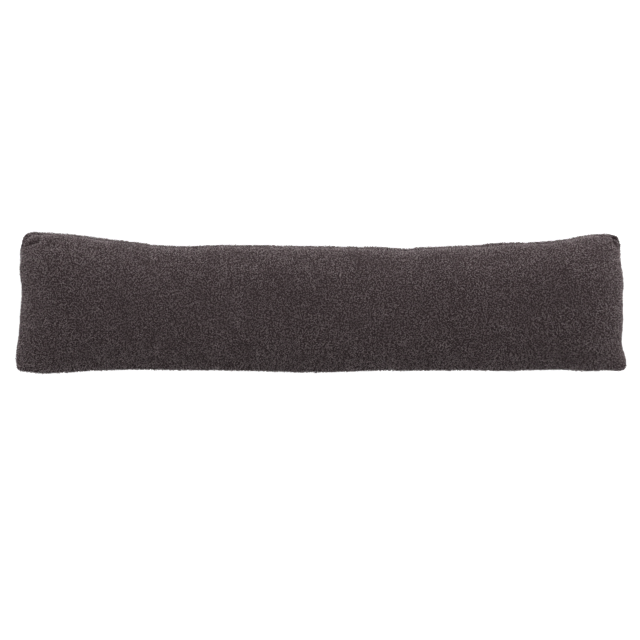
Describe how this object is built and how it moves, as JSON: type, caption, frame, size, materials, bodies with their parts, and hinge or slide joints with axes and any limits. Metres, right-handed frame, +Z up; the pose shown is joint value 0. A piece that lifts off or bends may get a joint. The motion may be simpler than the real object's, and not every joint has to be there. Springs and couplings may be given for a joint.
{
  "type": "draught excluder",
  "caption": "Long, narrow stuffed draught excluder of charcoal curly pile cloth: a knife-edge cushion with a plain seam all round, lying on its back to rest against the foot of a door.",
  "frame": {"origin": "middle of the underside, on the surface that the cushion lies on", "axes": "+X along the cushion, +Y across it towards the side with the raised corners, +Z up out of the front panel"},
  "size_m": [0.8792, 0.201, 0.0936],
  "materials": {
    "pile_cloth": "matt charcoal brown-grey cloth with a short, dense pile of small curled loops"
  },
  "bodies": {
    "root": {"filled_cover": "pile_cloth"}
  },
  "joints": []
}
